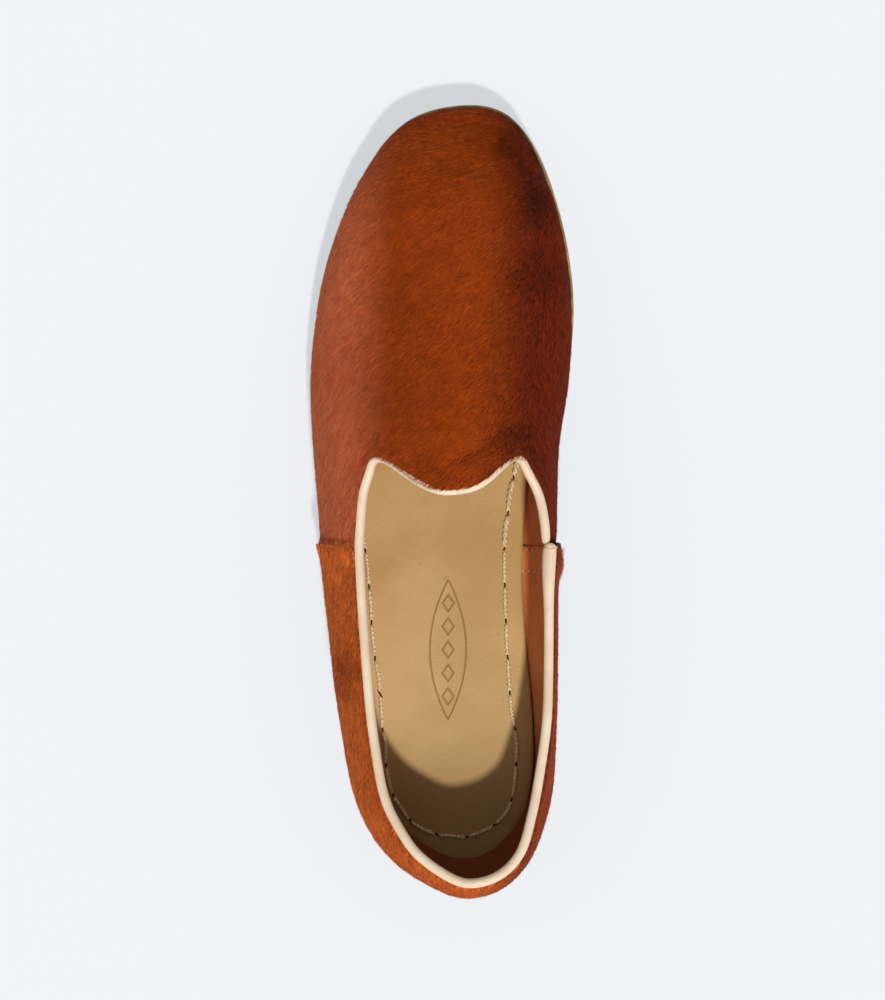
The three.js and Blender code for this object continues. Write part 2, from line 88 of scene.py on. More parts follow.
class Wire:
    """An output of a material's node. Arithmetic on it adds the Math nodes."""

    def __init__(self, finish, socket):
        self.finish = finish
        self.socket = socket

    def math(self, operation, *values):
        return self.finish.node("ShaderNodeMath", {"operation": operation}, dict(enumerate(values)))

    def __add__(self, other):
        return self.math("ADD", self, other)

    def __radd__(self, other):
        return self.math("ADD", other, self)

    def __sub__(self, other):
        return self.math("SUBTRACT", self, other)

    def __rsub__(self, other):
        return self.math("SUBTRACT", other, self)

    def __mul__(self, other):
        return self.math("MULTIPLY", self, other)

    def __rmul__(self, other):
        return self.math("MULTIPLY", other, self)

    def __truediv__(self, other):
        return self.math("DIVIDE", self, other)

    def __pow__(self, other):
        return self.math("POWER", self, other)

    def __abs__(self):
        return self.math("ABSOLUTE", self)

    def least(self, other):
        return self.math("MINIMUM", self, other)

    def most(self, other):
        return self.math("MAXIMUM", self, other)

    def rise(self, low, high):
        """0 below low and 1 above high, with a smooth step between; low may be the higher."""
        settings = {"interpolation_type": "SMOOTHSTEP"}
        inputs = {"Value": self, "From Min": low, "From Max": high}
        return self.finish.node("ShaderNodeMapRange", settings, inputs)

    def hump(self, middle, reach):
        """1 at the middle and 0 a reach away on both sides."""
        return abs(self - middle).rise(reach, 0)


class Finish:
    """A material on Object coordinates, with its main shader."""

    def __init__(self, name, **sockets):
        self.material = bpy.data.materials.new(name)
        self.material.use_nodes = True
        self.tree = self.material.node_tree
        self.shader = self.tree.nodes["Principled BSDF"]
        self.place = self.node("ShaderNodeTexCoord", {}, {}, "Object")
        self.set(**sockets)

    def node(self, kind, settings, inputs, output=0):
        made = self.tree.nodes.new(kind)
        for name, value in settings.items():
            if name == "stops":
                self.stop(made.color_ramp, value)
            else:
                setattr(made, name, value)
        for name, value in inputs.items():
            self.join(value, made.inputs[name])
        return Wire(self, made.outputs[output])

    def stop(self, ramp, stops):
        while len(ramp.elements) < len(stops):
            ramp.elements.new(1)
        for element, (position, colour) in zip(ramp.elements, stops):
            element.position = position
            element.color = colour

    def join(self, value, socket):
        if isinstance(value, Wire):
            self.tree.links.new(value.socket, socket)
        else:
            socket.default_value = value

    def set(self, **sockets):
        for name, value in sockets.items():
            self.join(value, self.shader.inputs[name.replace("_", " ")])

    def along(self):
        """X, Y and Z of the place on the piece, in metres."""
        settings, inputs = {}, {0: self.place}
        return [self.node("ShaderNodeSeparateXYZ", settings, inputs, k) for k in range(3)]

    def grain(self, size, detail=2.0, stretch=(1, 1, 1), turn=0.0, rough=0.5, place=None):
        """Noise with lumps of about a size, drawn out along the turned axes by the stretch."""
        scale = tuple(1 / (size * s) for s in stretch)
        turned = {"Vector": place or self.place, "Rotation": (0, 0, -turn)}
        flat = self.node("ShaderNodeMapping", {"vector_type": "POINT"}, turned)
        sized = self.node("ShaderNodeVectorMath", {"operation": "MULTIPLY"}, {0: flat, 1: scale})
        inputs = {"Vector": sized, "Scale": 1.0, "Detail": detail, "Roughness": rough}
        return self.node("ShaderNodeTexNoise", {}, inputs)

    def mix(self, share, first, second, blend="MIX"):
        settings = {"data_type": "RGBA", "blend_type": blend, "clamp_factor": True}
        return self.node("ShaderNodeMix", settings, {0: share, 6: first, 7: second}, 2)

    def bump(self, height, depth, strength=1.0):
        """A Bump node from a height of 0 to 1 that stands for a depth in metres."""
        inputs = {"Height": height, "Distance": depth, "Strength": strength}
        self.set(Normal=self.node("ShaderNodeBump", {}, inputs))


def colour(red, green, blue):
    """A colour as a screen shows it, from 0 to 255, as the light it stands for."""
    return tuple(((c / 255 + 0.055) / 1.055) ** 2.4 if c > 10 else c / 3295 for c in (red, green, blue)) + (1,)


# Floor: a plain pale sweep that the shoe stands on. It glows a little, as a lit table does, so
# that the shoe's shadow on it stays light.
FLOOR_REACH = 3.0
FLOOR_GLOW = 0.55

floor_finish = Finish("floor", Base_Color=(0.31, 0.31, 0.31, 1), Roughness=0.9)
floor_finish.set(Emission_Color=(0.96, 1, 1.06, 1), Emission_Strength=FLOOR_GLOW, Specular_IOR_Level=0.1)
floor_mesh = bpy.data.meshes.new("floor")
floor_shape = bmesh.new()
bmesh.ops.create_grid(floor_shape, x_segments=1, y_segments=1, size=FLOOR_REACH)
floor_shape.to_mesh(floor_mesh)
floor_mesh.materials.append(floor_finish.material)
floor = bpy.data.objects.new("floor", floor_mesh)
bpy.context.scene.collection.objects.link(floor)


# Outsole: one piece of vegetable-tanned leather, cut to the last's outline and sewn on through
# the insole. Its edge is rubbed to an olive tan, and its tread is scuffed.
def copy_of(node):
    """A CAD node's shape with its corners joined and its pairs of triangles made four-sided."""
    shape = bmesh.new()
    shape.from_mesh(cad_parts[node].data)
    bmesh.ops.remove_doubles(shape, verts=shape.verts, dist=2e-5)
    bmesh.ops.join_triangles(
        shape, faces=shape.faces, angle_face_threshold=math.radians(50), angle_shape_threshold=math.radians(70)
    )
    return shape


def piece(name, shape, finish, slot, *replaced, rounds=0):
    """The finished shape as a piece that rides on the shoe."""
    mesh = bpy.data.meshes.new(name)
    shape.to_mesh(mesh)
    shape.free()
    mesh.materials.append(finish.material)
    mesh.shade_smooth()
    made = bpy.data.objects.new(name, mesh)
    bpy.context.scene.collection.objects.link(made)
    if rounds:
        smooth = made.modifiers.new("smooth", "SUBSURF")
        smooth.levels = rounds
        smooth.render_levels = rounds
    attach(made, "root")
    if replaced:
        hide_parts(*replaced)
    return made


sole_finish = Finish("sole_leather", Roughness=0.62, Specular_IOR_Level=0.4)
across, forward, up = sole_finish.along()
fibre = sole_finish.grain(0.0006, 3, stretch=(4, 4, 0.7))
cloud = sole_finish.grain(0.012, 3)
tan = sole_finish.mix(cloud.rise(0.3, 0.7), colour(150, 122, 74), colour(190, 160, 108))
worn = sole_finish.mix(fibre.rise(0.35, 0.75) * 0.5, tan, colour(104, 84, 46))
soiled = sole_finish.grain(0.009, 3).rise(0.56, 0.7) * up.rise(0.006, 0.012) * 0.6
sole_finish.set(Base_Color=sole_finish.mix(soiled, worn, colour(74, 56, 30)))
sole_finish.bump(fibre * 0.6 + cloud * 0.4, 0.00025)
outsole = piece("outsole", copy_of("outsole"), sole_finish, "sole_leather", "outsole", rounds=2)


# Heel: a low stack of leather lifts nailed under the seat of the sole, stained darker.
LIFT_THICKNESS = 0.0023

heel_finish = Finish("heel_leather", Roughness=0.5)
across, forward, up = heel_finish.along()
lifts = (up / LIFT_THICKNESS).math("PINGPONG", up / LIFT_THICKNESS, 0.5).rise(0.0, 0.09)
fibre = heel_finish.grain(0.0005, 3, stretch=(5, 5, 0.6))
stain = heel_finish.mix(fibre.rise(0.3, 0.75) * 0.6, colour(92, 58, 33), colour(58, 36, 20))
heel_finish.set(Base_Color=heel_finish.mix(lifts, colour(30, 18, 10), stain))
heel_finish.bump(lifts * 0.7 + fibre * 0.3, 0.0003)
heel = piece("heel", copy_of("heel"), heel_finish, "heel_leather", "heel")


# Insole: a board of thick natural leather that fills the bottom, smooth on top, with small marks
# of handling and a plain pressed ornament under the arch of the foot.
MM = 0.001
ORNAMENT_PLACE = (2 * MM, -60 * MM)
ORNAMENT_REACH = (7 * MM, 27 * MM)
ORNAMENT_LINE = 0.5 * MM
DIAMOND_STEP = 9 * MM
DIAMOND_REACH = (2.2 * MM, 3.2 * MM)
ORNAMENT_DEPTH = 0.35 * MM

insole_finish = Finish("insole_leather", Roughness=0.48, Specular_IOR_Level=0.35)
across, forward, up = insole_finish.along()
cloud = insole_finish.grain(0.035, 3)
pores = insole_finish.grain(0.0009, 2)
warm = insole_finish.mix(cloud.rise(0.35, 0.65), colour(200, 164, 106), colour(187, 150, 91))
warm = insole_finish.mix(pores.rise(0.55, 0.8) * 0.2, warm, colour(160, 122, 76))
side = abs(across - ORNAMENT_PLACE[0])
end = abs(forward - ORNAMENT_PLACE[1]) / ORNAMENT_REACH[1]
lens = (side - (1 - end * end) * ORNAMENT_REACH[0]).hump(0, ORNAMENT_LINE) * end.rise(1.03, 0.98)
step = forward.math("PINGPONG", forward - ORNAMENT_PLACE[1], DIAMOND_STEP / 2)
diamond = (side / DIAMOND_REACH[0] + step / DIAMOND_REACH[1]).hump(1, 0.3) * end.rise(0.84, 0.8)
pressed = lens.most(diamond)
# Painted shade: the board darkens towards the heel, where the heel cup shades it.
warm = insole_finish.mix(forward.rise(-85 * MM, -125 * MM) * 0.7, warm, colour(150, 112, 58))
warm = insole_finish.mix(insole_finish.grain(0.0028, 1).rise(0.72, 0.8) * 0.2, warm, colour(140, 100, 54))
insole_finish.set(Base_Color=insole_finish.mix(pressed * 0.55, warm, colour(146, 108, 60)))
surface = pores * 0.25 + insole_finish.grain(0.006, 2) * 0.25 - pressed
insole_finish.bump(surface, ORNAMENT_DEPTH)
insole = piece("insole", copy_of("insole"), insole_finish, "insole_leather", "insole", rounds=2)


# Sewing of the insole: one thick waxed thread that goes through insole, lining and sole, in long
# running stitches. Each dips into an awl hole at both ends. At the instep two strands lie together.
SEAM_LINE = [
    (23.7, -21.3), (24.1, -41), (24.9, -60), (26.2, -80), (28.2, -93), (28.4, -104), (27.3, -115),
    (24.5, -123), (17.5, -129.6), (7.9, -132.6), (-1.8, -131.6), (-10.6, -128), (-18.8, -117),
    (-22, -104), (-23.1, -92.6), (-24.1, -77.9), (-25.9, -65.3), (-27.7, -47.8), (-28.6, -36),
    (-31, -15), (-34, 10), (-37, 35), (-38.5, 60), (-37, 85), (-30, 110), (-14, 131), (8, 138),
    (26, 129), (38, 110), (43, 85), (41, 60), (35, 35), (28.7, 13), (26.2, 0.3), (25.0, -8.2),
]
STITCH = 13.9 * MM
HEEL_STITCH = 11.8 * MM
HEEL_STITCHES_BEHIND = -112 * MM
HOLE = 2.6 * MM
THREAD_WIDTH = 1.5 * MM
DOUBLED_AHEAD = -20 * MM
DOUBLED = 1.4
THREAD_TWIST = 3.4 * MM
THREAD_SIDES = 6
THREAD_RINGS = 22


def smooth_line(points, steps):
    """A closed line through plan places in millimetres, with even steps between them."""
    places = np.array(points, float) * MM
    before, after, past = (np.roll(places, k, axis=0) for k in (1, -1, -2))
    shares = np.arange(steps)[None, :, None] / steps
    p, q, r, t = (x[:, None, :] for x in (before, places, after, past))
    bend = q + 0.5 * shares * (r - p + shares * (2 * p - 5 * q + 4 * r - t + shares * (3 * (q - r) + t - p)))
    return bend.reshape(-1, 2)


def spaced(line):
    """Where the holes of the running stitches come along a closed line, and the line's lengths.

    They run both ways from the line's start at the instep, so what is left over is at the toe."""
    steps = np.linalg.norm(np.roll(line, -1, axis=0) - line, axis=1)
    reached = np.concatenate([[0], np.cumsum(steps)])
    toe = reached[np.argmax(line[:, 1])]
    holes = [0.0]
    while holes[-1] < toe:
        here = line[np.searchsorted(reached, holes[-1]) % len(line)]
        holes.append(holes[-1] + (HEEL_STITCH if here[1] < HEEL_STITCHES_BEHIND else STITCH))
    ahead = np.arange(reached[-1], holes[-1] + STITCH / 2, -STITCH)
    return [*holes, *ahead[::-1]], reached


def tubes(name, paths, radii, sides, finish, slot):
    """Joined closed tubes along paths of points, each with its own radius at each point."""
    corners, faces = [], []
    for path, radius in zip(paths, radii):
        run = unit(np.gradient(path, axis=0))
        side = unit(np.cross(run, (0, 0, 1)))
        rise = np.cross(side, run)
        start = len(corners)
        for k in range(len(path)):
            for turn in np.arange(sides) * 2 * math.pi / sides:
                corners.append(path[k] + radius[k] * (side[k] * math.cos(turn) + rise[k] * math.sin(turn)))
        for k in range(len(path) - 1):
            for j in range(sides):
                a, b = start + k * sides + j, start + k * sides + (j + 1) % sides
                faces.append((a, a + sides, b + sides, b))
        faces.append(tuple(start + j for j in range(sides)))
        faces.append(tuple(start + (len(path) - 1) * sides + j for j in reversed(range(sides))))
    shape = bmesh.new()
    made = [shape.verts.new(corner) for corner in corners]
    for face in faces:
        shape.faces.new([made[k] for k in face])
    bmesh.ops.recalc_face_normals(shape, faces=shape.faces)
    return piece(name, shape, finish, slot)


def unit(vectors):
    return vectors / np.maximum(np.linalg.norm(vectors, axis=1, keepdims=True), 1e-9)


def lying(made, line, lift):
    """Plan places put on top of a piece, raised by the lift."""
    depsgraph = bpy.context.evaluated_depsgraph_get()
    ground = BVHTree.FromObject(made, depsgraph)
    placed = []
    for (x, y), rise in zip(line, lift):
        spot = ground.ray_cast(Vector((x, y, 0.1)), Vector((0, 0, -1)))[0]
        spot = spot or ground.find_nearest(Vector((x, y, 0.05)))[0]
        placed.append((x, y, spot.z + rise))
    return np.array(placed)


thread_finish = Finish("thread", Roughness=0.55, Specular_IOR_Level=0.3)
fuzz = thread_finish.grain(0.0007, 2)
thread_finish.set(Base_Color=thread_finish.mix(fuzz.rise(0.35, 0.7), colour(236, 214, 176), colour(196, 164, 118)))
thread_finish.bump(fuzz, 0.0002)
# Painted shade: each awl hole is a dark lens laid into the insole, standing for the shade down in the hole.
hole_shade_finish = Finish("painted_hole_shade", Base_Color=colour(52, 34, 14), Roughness=0.9, Specular_IOR_Level=0.1)

draw = np.random.default_rng(7)
seam = smooth_line(SEAM_LINE, 12)
holes, reached = spaced(seam)
looped = np.vstack([seam, seam[:1]])
along_seam = lambda lengths: np.stack([np.interp(lengths, reached, looped[:, k]) for k in range(2)], 1)
strands, strand_radii, slots = [], [], []
for start, end in zip(holes, holes[1:]):
    wander = draw.normal(0, 0.3 * MM)
    lengths = np.linspace(start + HOLE * 0.2, end - HOLE * 0.2, THREAD_RINGS)
    share = np.linspace(0, 1, THREAD_RINGS)
    middle = along_seam(lengths)
    run = unit(np.gradient(middle, axis=0))
    middle = middle + np.stack([-run[:, 1], run[:, 0]], 1) * wander * np.sin(math.pi * share)[:, None]
    arch = np.minimum(np.minimum(share, 1 - share) / 0.12, 1) ** 0.5
    doubled = DOUBLED if middle[0, 0] > 0 and DOUBLED_AHEAD < middle[:, 1].mean() < 30 * MM else 1.0
    width = THREAD_WIDTH * doubled
    laid = lying(insole, middle, width * (0.72 * arch - 0.42))
    across_run = unit(np.cross(np.gradient(laid, axis=0), (0, 0, 1)))
    phase = draw.uniform(0, 6.28) + 2 * math.pi * (lengths - start) / (THREAD_TWIST * doubled)
    for ply in (0, math.pi):
        swing = width * 0.24
        offset = across_run * np.cos(phase + ply)[:, None] * swing
        offset[:, 2] += np.sin(phase + ply) * swing * 0.7
        strands.append(laid + offset)
        strand_radii.append(width * 0.27 * (0.5 + 0.5 * arch))
tubes("insole_thread", strands, strand_radii, THREAD_SIDES, thread_finish, "thread")
# Painted shade of the awl holes: a dark sunk lens at each hole.
for k, hole in enumerate(holes[1:]):
    turned = draw.normal(0, 0.22)
    middle = along_seam([hole - HOLE / 2, hole, hole + HOLE / 2])
    run = (middle[2] - middle[0]) / HOLE
    run = np.array([run[0] - turned * run[1], run[1] + turned * run[0]])
    share = np.linspace(-1, 1, 7)
    path = middle[1] + run * share[:, None] * HOLE * 0.75
    slots.append(lying(insole, path, np.full(7, -0.16 * MM)))
tubes("painted_hole_shades", slots, [0.42 * MM * np.sqrt(1.02 - np.linspace(-1, 1, 7) ** 2)] * len(slots), 8, hole_shade_finish, "insole_leather")


# Vamp: one piece of calf hide with its short hair left on, lasted wet over the forefoot. The hair
# is combed back towards the throat. It is skived where it passes under the quarter at both sides.
HIDE_THICKNESS = 0.8 * MM
SEAM_Y = -18.7 * MM
UNDERLAP = 8.2 * MM
RIM_HEIGHT = 20 * MM


def skins(node):
    """The outer and inner skins of a hollow CAD node, each as a sheet of its own."""
    shape = copy_of(node)
    cut = []
    for edge in shape.edges:
        first, second = edge.link_faces
        sharp = first.normal.angle(second.normal) > math.radians(50)
        low = max(first.calc_center_median().z, second.calc_center_median().z) < RIM_HEIGHT
        under = (first.normal.z < -0.93) != (second.normal.z < -0.93)
        if sharp or (low and under):
            cut.append(edge)
    bmesh.ops.split_edges(shape, edges=cut)
    shape.faces.index_update()
    left = set(shape.faces)
    sheets = []
    while left:
        sheet, ahead = set(), [left.pop()]
        while ahead:
            face = ahead.pop()
            sheet.add(face.index)
            near = {f for edge in face.edges for f in edge.link_faces} & left
            left -= near
            ahead.extend(near)
        sheets.append(sheet)
    areas = {face.index: face.calc_area() for face in shape.faces}
    sheets.sort(key=lambda sheet: -sum(areas[k] for k in sheet))
    kept = []
    for sheet in sheets[:2]:
        skin = shape.copy()
        others = [face for face in skin.faces if face.index not in sheet]
        bmesh.ops.delete(skin, geom=others, context="FACES")
        kept.append(skin)
    shape.free()
    return kept


def refined(shape, rounds):
    """A shape with rounds of Subdivision Surface worked in."""
    mesh = bpy.data.meshes.new("refined")
    shape.to_mesh(mesh)
    shape.free()
    made = bpy.data.objects.new("refined", mesh)
    bpy.context.scene.collection.objects.link(made)
    smooth = made.modifiers.new("smooth", "SUBSURF")
    smooth.levels = rounds
    smooth.render_levels = rounds
    done = bmesh.new()
    done.from_mesh(made.evaluated_get(bpy.context.evaluated_depsgraph_get()).to_mesh())
    bpy.data.objects.remove(made)
    return done


def trough(shape, path, depth, reach):
    """Presses a soft trough along a line of plan places into what faces up, or raises a ridge."""
    line = [Vector((x * MM, y * MM)) for x, y in path]
    for corner in shape.verts:
        if corner.normal.z < 0.1:
            continue
        here = corner.co.to_2d()
        nearest = min(distance_to(here, a, b) for a, b in zip(line, line[1:]))
        if nearest < 2.5 * reach:
            corner.co -= corner.normal * depth * math.exp(-(nearest / reach) ** 2)


def distance_to(place, start, end):
    run = end - start
    share = min(max((place - start).dot(run) / run.length_squared, 0), 1)
    return (place - start - run * share).length


def shell(sheet, thickness):
    """A sheet made a closed wall, on the side of the foot for a thickness above zero."""
    wall = sheet.copy()
    bmesh.ops.recalc_face_normals(wall, faces=wall.faces)
    wall.normal_update()
    corners = list(wall.verts)
    rims = [edge for edge in wall.edges if edge.is_boundary]
    opposite = bmesh.ops.duplicate(wall, geom=[*wall.verts, *wall.edges, *wall.faces])["vert_map"]
    for corner in corners:
        opposite[corner].co = corner.co - corner.normal * thickness
    for edge in rims:
        first, second = edge.verts
        wall.faces.new((second, first, opposite[first], opposite[second]))
    bmesh.ops.recalc_face_normals(wall, faces=wall.faces)
    return wall


HORN_CREASE = [(-21.5, 21.5), (-23.4, 18.4), (-26.2, 14.5), (-28.4, 11.0)]
HORN_FOLD = [(12.0, 13.0), (19.0, 17.5), (26.0, 22.0), (33.0, 24.5)]
THROAT_GROOVE = [(-18.0, 17.0), (-12.8, 14.2), (-10.4, 11.2), (-6.8, 6.6), (-1.0, 1.5)]
TOE_CREASE = [(24.0, 134.0), (31.0, 126.0), (36.0, 116.0), (38.0, 104.0)]

THROAT_X = 5.3 * MM
THROAT_Z = 54 * MM
THROAT_REACH = 25 * MM
THROAT_ROLL = 5 * MM
THROAT_LAP = 1.2 * MM
THROAT_PILE = 0.8 * MM

upper_skin, lining_skin = skins("upper")
behind = [face for face in upper_skin.faces if face.calc_center_median().y < SEAM_Y - UNDERLAP]
bmesh.ops.delete(upper_skin, geom=behind, context="FACES")
vamp_sheet = refined(upper_skin, 2)
trough(vamp_sheet, HORN_CREASE, 0.6 * MM, 1.4 * MM)
trough(vamp_sheet, HORN_FOLD, 0.7 * MM, 3 * MM)
trough(vamp_sheet, THROAT_GROOVE, 0.3 * MM, 1.3 * MM)
trough(vamp_sheet, TOE_CREASE, 0.5 * MM, 3 * MM)
vamp_sheet.normal_update()
throat_edge = [
    corner.co.copy() for corner in vamp_sheet.verts
    if corner.is_boundary and corner.co.z > THROAT_Z and abs(corner.co.x - THROAT_X) < THROAT_REACH
]
for corner in vamp_sheet.verts:
    away = min((corner.co - place).length for place in throat_edge)
    share = 1 - min(away / THROAT_ROLL, 1)
    corner.co += share * (corner.normal * THROAT_PILE + Vector((0, -THROAT_LAP, 0)))

def coat_colours_and_painted_light(finish):
    """The dark and the light of the dyed hair at each place, with painted light: rosier outside the foot as painted
    sheen, deeper inside the foot, partly the dye and partly painted shade.
    """
    across, forward, up = finish.along()
    ahead = forward.rise(SEAM_Y - 3 * MM, SEAM_Y + 2 * MM)
    # Partly painted shade, partly the dye: the hair darkens towards the inside of the foot.
    inside = across.rise(10 * MM, 38 * MM)
    # Painted sheen: the hair grows rosier and lighter towards the outside of the foot.
    outside = across.rise(-14 * MM, -38 * MM)
    drift = finish.grain(0.028, 2).rise(0.35, 0.65)
    middle = finish.mix(drift * 0.4, colour(230, 103, 22), colour(206, 90, 26))
    light = finish.mix(outside, middle, colour(255, 160, 104))
    light = finish.mix(inside, light, colour(158, 54, 14))
    behind = finish.mix(outside, colour(255, 132, 56), colour(255, 140, 60))
    light = finish.mix(ahead, finish.mix(inside, behind, colour(216, 96, 50)), light)
    dark = finish.mix(inside, colour(150, 58, 10), colour(78, 22, 6))
    dark = finish.mix(outside, dark, colour(214, 88, 44))
    return finish.mix(1 - ahead, dark, finish.mix(inside, colour(176, 78, 20), colour(110, 44, 20))), light


hide_finish = Finish("hide", Roughness=0.8, Specular_IOR_Level=0.15)
dark, light = coat_colours_and_painted_light(hide_finish)
strands = hide_finish.grain(0.0006, 3, stretch=(7, 1, 7), turn=math.radians(42))
hide_finish.set(Base_Color=hide_finish.mix(strands.rise(0.3, 0.75) * 0.7, dark, light))
hide_finish.bump(strands, 0.0005)
vamp = piece("vamp", shell(vamp_sheet, HIDE_THICKNESS), hide_finish, "hair_hide", "upper")


# Lining: thin smooth calf, glued and sewn inside the vamp and the quarter.
LINING_THICKNESS = 0.6 * MM

HEEL_PAD = 2 * MM
TAPE_FROM = -31 * MM
TAPE_TO = -20.2 * MM
TAPE_THICKNESS = 0.7 * MM

lining_finish = Finish("lining_leather", Roughness=0.55, Specular_IOR_Level=0.35)
across, forward, up = lining_finish.along()
wrinkle = lining_finish.grain(0.0011, 3)
cloud = lining_finish.grain(0.02, 2)
brown = lining_finish.mix(cloud.rise(0.3, 0.7), colour(232, 146, 86), colour(208, 124, 68))
# Painted shade: the lining darkens towards the heel, deep in the heel cup.
brown = lining_finish.mix(forward.rise(-75 * MM, -120 * MM), brown, colour(128, 68, 30))
row = forward.hump(TAPE_TO - 1.3 * MM, 0.5 * MM).most(forward.hump(TAPE_FROM + 1.2 * MM, 0.5 * MM))
stitch = row * (up / (1.6 * MM)).math("FRACT", up / (1.6 * MM)).hump(0.5, 0.42)
brown = lining_finish.mix(row * 0.5, brown, colour(96, 46, 22))
lining_finish.set(Base_Color=lining_finish.mix(stitch, brown, colour(238, 190, 140)))
lining_finish.bump(wrinkle * 0.4 + stitch * 0.6 - row * 0.3, 0.0003)
lining_sheet = refined(lining_skin, 2)
for corner in lining_sheet.verts:
    x, y, z = corner.co
    low = 1 - min(max((z - 14 * MM) / (34 * MM), 0), 1)
    back = min(max((-y - 108 * MM) / (26 * MM), 0), 1)
    corner.co -= corner.normal.normalized() * HEEL_PAD * -low * back
lining = piece("lining", shell(lining_sheet, -LINING_THICKNESS), lining_finish, "lining_leather")
tape = lining_sheet.copy()
for reach, kept in ((TAPE_FROM, 1), (TAPE_TO, -1)):
    everything = [*tape.verts, *tape.edges, *tape.faces]
    bmesh.ops.bisect_plane(
        tape, geom=everything, plane_co=(0, reach, 0), plane_no=(0, -kept, 0), clear_outer=True
    )
for corner in tape.verts:
    corner.co += corner.normal * TAPE_THICKNESS
tape.normal_update()
tape_piece = piece("side_tapes", shell(tape, -TAPE_THICKNESS), lining_finish, "lining_leather")


# Quarter: the heel part of the same hide, in one piece round the heel. Its front edges lap the
# vamp at the side seams, and the medial one stands off a little. The hair runs along it.
FLARE_FROM = -27 * MM
FLARE_TAKEN_IN = 1.6 * MM


def taken_in(sheet):
    """The front corner at the inside of the foot drawn in to where the hair hides it."""
    for corner in sheet.verts:
        if corner.co.x > 0 and corner.co.y > FLARE_FROM:
            corner.co.x -= FLARE_TAKEN_IN * (corner.co.y - FLARE_FROM) / (SEAM_Y - FLARE_FROM)
    return sheet


quarter_sheet = taken_in(refined(copy_of("quarter"), 2))
quarter = piece("quarter", quarter_sheet, hide_finish, "hair_hide", "quarter")


# Binding: a strip of cream sheepskin folded over the raw top line and sewn down.
binding_finish = Finish("binding_leather", Roughness=0.5, Specular_IOR_Level=0.35)
grain = binding_finish.grain(0.0008, 3)
cloud = binding_finish.grain(0.01, 2)
cream = binding_finish.mix(cloud.rise(0.3, 0.7), colour(236, 214, 186), colour(226, 198, 166))
binding_finish.set(Base_Color=cream)
binding_finish.bump(grain, 0.00012)
BINDING_SWELL = 0.2 * MM
LAP_SWELL = 0.45 * MM
LAP_LENGTH = 26 * MM
LIP_REACH = 1.4 * MM
LIP_RADIUS = 0.5 * MM
LIP_SAG = 0.9 * MM

binding_shape = copy_of("binding")
binding_shape.normal_update()
ending = [c for c in binding_shape.verts if c.co.x > 0.02 and -LIP_REACH < c.co.y - SEAM_Y < 0.1 * MM]
for corner in binding_shape.verts:
    lapped = 1 - min((SEAM_Y - corner.co.y) / LAP_LENGTH, 1) if corner.co.x > 0 and corner.co.y < SEAM_Y else 0
    corner.co += corner.normal * (BINDING_SWELL + LAP_SWELL * lapped)
inner_x, outer_x = min(c.co.x for c in ending), max(c.co.x for c in ending)
binding = piece("binding", binding_shape, binding_finish, "binding_leather", "binding", rounds=2)
lip_x = np.linspace(inner_x + 0.6 * MM, outer_x - 0.6 * MM, 11)
lip_y = SEAM_Y - 1.3 * MM - LIP_SAG * np.sin(np.linspace(0, math.pi, 11))
lip = lying(binding, np.stack([lip_x, lip_y], 1), -0.15 * MM * np.ones(11))
tubes("binding_lip", [lip], [np.full(11, LIP_RADIUS)], 8, binding_finish, "binding_leather")


# Nap: the short hair itself, some five millimetres long, combed flat. On the vamp it lies from the
# toe back and outwards over the throat, on the quarter it lies along the shoe towards the heel.
# Each hair that is modelled stands for a lock of a few dozen.
HAIR_LENGTH = 4.4 * MM
HAIR_WIDTH = 0.19 * MM
HAIR_STAND = 0.35 * MM
HAIRS_EACH = 49000
RIDGE_X = 5.8 * MM
LOW_EDGE = 24 * MM
LOWEST_TIP = 3.5 * MM
OVERHANG = 0.8 * MM
THROAT_OVERHANG = 1.6 * MM
SEAM_COVER = 0.9 * MM
HORN_PLACE = (33.4 * MM, 13 * MM)
HORN_OVERHANG = 3 * MM
# Places where the coat is ruffled, in plan: x, y and reach in millimetres, how unruly the hair is
# there, and how much lighter it is painted there, as painted sheen and shade of hair that lies another way.
RUFFLES = [
    (25, 131, 9, 1.0, -0.3), (38, 112, 10, 0.8, -0.3), (30, 81, 6, 0.6, -0.2), (42, 84, 9, 0.8, -0.25),
    (30, 20, 9, 0.9, -0.25), (2, 6, 8, 0.5, -0.15), (-34.5, -63, 6, 1.0, -0.45),
    (-37, -72, 6, 0.4, -0.3), (-34, -23, 3, 0.3, 0.5), (-40, -29, 3, 0.3, 0.4), (47, -25, 4, 4.0, -0.2),
    (-40, 45, 12, 0.4, -0.1), (-12, 70, 9, 0.3, -0.1), (8, 118, 12, 0.3, -0.05),
]


def smoothstep(low, high, values):
    share = np.clip((values - low) / (high - low), 0, 1)
    return share * share * (3 - 2 * share)


def comb_vamp(roots):
    """Which way the hair of the vamp lies, before it is laid on the skin."""
    x, y, z = roots.T
    toe = smoothstep(0.095, 0.14, y)
    inner = smoothstep(0.0, 0.035, x)
    angle = np.radians(224 - 34 * toe - 16 * toe * inner + 6 * inner)
    return np.stack([np.cos(angle), np.sin(angle), -0.25 * (1 - toe) * (z < 0.045)], 1)


def comb_quarter(roots):
    """Which way the hair of the quarter lies: backwards and a little down."""
    x, y, z = roots.T
    return np.stack([0.12 * np.sign(x - RIDGE_X), -np.ones_like(x), -0.3 + 0 * x], 1)


def surface(*pieces):
    """One surface to lay hair on, made of the finished pieces and sheets."""
    corners, faces = [], []
    for made in pieces:
        if not isinstance(made, bmesh.types.BMesh):
            shape = bmesh.new()
            shape.from_object(made, bpy.context.evaluated_depsgraph_get())
            made = shape
        made.verts.index_update()
        start = len(corners)
        corners.extend(corner.co.copy() for corner in made.verts)
        faces.extend([start + corner.index for corner in face.verts] for face in made.faces)
    return BVHTree.FromPolygons(corners, faces)


